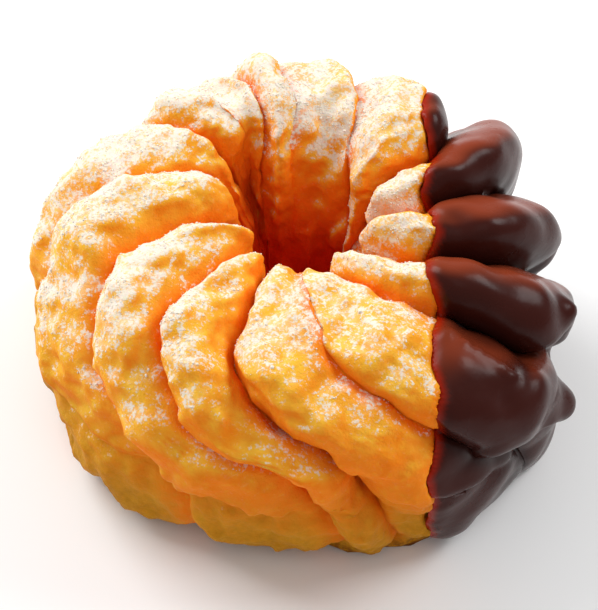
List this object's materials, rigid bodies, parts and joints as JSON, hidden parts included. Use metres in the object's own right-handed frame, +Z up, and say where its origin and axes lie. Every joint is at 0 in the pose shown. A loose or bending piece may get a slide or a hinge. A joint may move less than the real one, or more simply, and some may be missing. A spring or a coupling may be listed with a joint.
{
  "type": "cruller doughnut",
  "caption": "Ring-shaped French cruller of piped, twisted choux ridges, one side dipped in chocolate, with a round hole through the middle.",
  "frame": {"origin": "middle of the bounding box, on the surface that the doughnut rests on", "axes": "+Z up along the axis of the ring, +X towards the side dipped in chocolate, +Y towards the back"},
  "size_m": [0.0918, 0.0864, 0.0495],
  "materials": {
    "fried_dough": "golden fried choux dough with powdered sugar on top",
    "chocolate": "satin dark chocolate"
  },
  "bodies": {
    "root": {"dough": "fried_dough", "chocolate_coat": "chocolate"}
  },
  "joints": []
}
